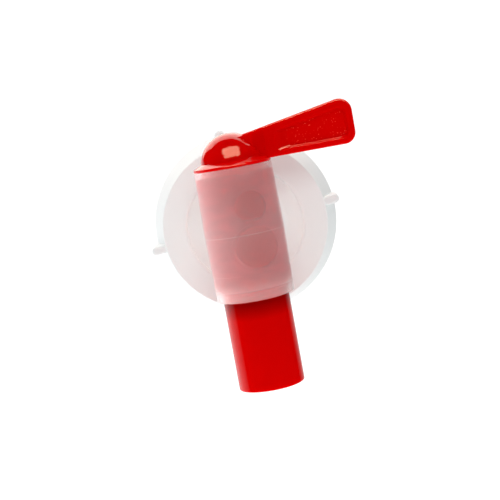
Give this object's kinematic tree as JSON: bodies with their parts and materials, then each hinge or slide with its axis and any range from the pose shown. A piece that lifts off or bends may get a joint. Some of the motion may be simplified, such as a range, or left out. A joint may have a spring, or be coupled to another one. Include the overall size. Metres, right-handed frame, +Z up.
{
  "type": "canister tap",
  "caption": "Vented canister tap: ring nut with key lugs, upright translucent barrel, one-piece red plug with paddle lever, domed knob and plain round spout.",
  "frame": {"origin": "centre of the screw cap's rear rim, on the axis of its thread", "axes": "+Y into the canister along the thread's axis, +Z up along the barrel, +X along the lever when the tap is shut"},
  "size_m": [0.0804, 0.0529, 0.0956],
  "materials": {
    "natural_plastic": "translucent milky polyethylene, satin",
    "cap_plastic": "translucent milky polyethylene, satin",
    "washer_foam": "matte white foam polyethylene",
    "red_plastic": "glossy moulded plastic"
  },
  "bodies": {
    "tap_body": {"tap_body": "natural_plastic", "sealing_washer": "washer_foam"},
    "screw_cap": {"screw_cap": "cap_plastic"},
    "rotary_plug": {"rotary_plug": "red_plastic"}
  },
  "joints": [
    {"name": "plug_turn", "type": "hinge", "parent": "tap_body", "child": "rotary_plug", "pos_m": [0, -0.0387, 0], "axis": [0, 0, 1], "range_deg": [-200, 0]},
    {"name": "cap_turn", "type": "hinge", "parent": "tap_body", "child": "screw_cap", "pos_m": [0, 0, 0], "axis": [0, 1, 0], "continuous": true}
  ]
}
